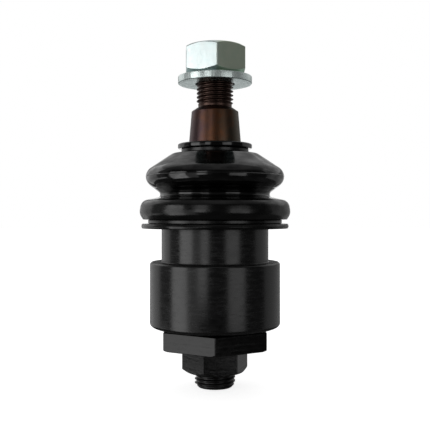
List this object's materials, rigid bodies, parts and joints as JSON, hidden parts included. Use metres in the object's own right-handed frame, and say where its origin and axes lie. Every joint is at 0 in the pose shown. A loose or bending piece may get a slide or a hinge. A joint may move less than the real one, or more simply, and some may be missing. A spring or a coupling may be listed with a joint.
{
  "type": "suspension ball joint",
  "caption": "Suspension ball joint: stepped black steel housing, tapered threaded stud with nut and washer, folded rubber boot, screwed hexagon end cap and preload screw.",
  "frame": {"origin": "on the joint's axis, in the plane of the barrel's top shoulder, where the arm's stepped bore stops", "axes": "+Z along the stud towards its nut; a corner of the end cap's hexagon points to -Y"},
  "size_m": [0.0572, 0.0572, 0.1294],
  "materials": {
    "housing_steel": "black nitrided, satin",
    "hex_steel": "blackened, fine machining marks",
    "screw_steel": "blackened, oily",
    "stud_steel": "tempered bronze-brown, satin",
    "zinc_plate": "bright zinc plated",
    "boot_rubber": "smooth glossy rubber",
    "seal_rubber": "matt",
    "ring_steel": "black spring steel",
    "seat_polymer": "moulded natural polymer",
    "spring_steel": "oiled spring steel"
  },
  "bodies": {
    "housing": {"housing": "housing_steel", "upper_seat": "seat_polymer", "lower_seat": "seat_polymer", "disc_spring_upper": "spring_steel", "disc_spring_lower": "spring_steel", "end_cap": "hex_steel", "cap_seal_ring": "seal_rubber", "boot_bottom_ring": "ring_steel"},
    "boot": {"dust_boot": "boot_rubber"},
    "boot_collar": {"boot_top_ring": "ring_steel"},
    "stud": {"ball_stud": "stud_steel"},
    "washer": {"stud_washer": "zinc_plate"},
    "nut": {"stud_nut": "zinc_plate"},
    "plate": {"pressure_plate": "spring_steel"},
    "adjuster": {"adjuster_screw": "screw_steel"},
    "locknut": {"jam_nut": "hex_steel"}
  },
  "joints": [
    {"name": "stud_tilt_x", "type": "hinge", "parent": "housing", "child": "boot", "pos_m": [0, 0, 0.007], "axis": [1, 0, 0], "range_deg": [-20, 20], "deforming": ["dust_boot"]},
    {"name": "stud_tilt_y", "type": "hinge", "parent": "boot", "child": "boot_collar", "pos_m": [0, 0, 0.007], "axis": [0, 1, 0], "range_deg": [-20, 20], "deforming": ["dust_boot"]},
    {"name": "stud_spin", "type": "hinge", "parent": "boot_collar", "child": "stud", "pos_m": [0, 0, 0.007], "axis": [0, 0, 1], "continuous": true},
    {"name": "nut_travel", "type": "slide", "parent": "stud", "child": "washer", "axis": [0, 0, 1], "range_m": [-0.0085, 0.014]},
    {"name": "nut_turn", "type": "hinge", "parent": "washer", "child": "nut", "pos_m": [0, 0, 0.0756], "axis": [0, 0, 1], "range_deg": [-2041, 3361]},
    {"name": "preload_travel", "type": "slide", "parent": "housing", "child": "plate", "axis": [0, 0, -1], "range_m": [0, 0.0015]},
    {"name": "screw_turn", "type": "hinge", "parent": "plate", "child": "adjuster", "pos_m": [0, 0, -0.04], "axis": [0, 0, -1], "range_deg": [-1, 361]},
    {"name": "jam_nut_turn", "type": "hinge", "parent": "adjuster", "child": "locknut", "pos_m": [0, 0, -0.0368], "axis": [0, 0, -1], "range_deg": [0, 60]}
  ],
  "couplings": [
    {"joint": "nut_turn", "follows": "nut_travel", "rad_per_m": 4188.8},
    {"joint": "screw_turn", "follows": "preload_travel", "rad_per_m": 4188.8}
  ]
}
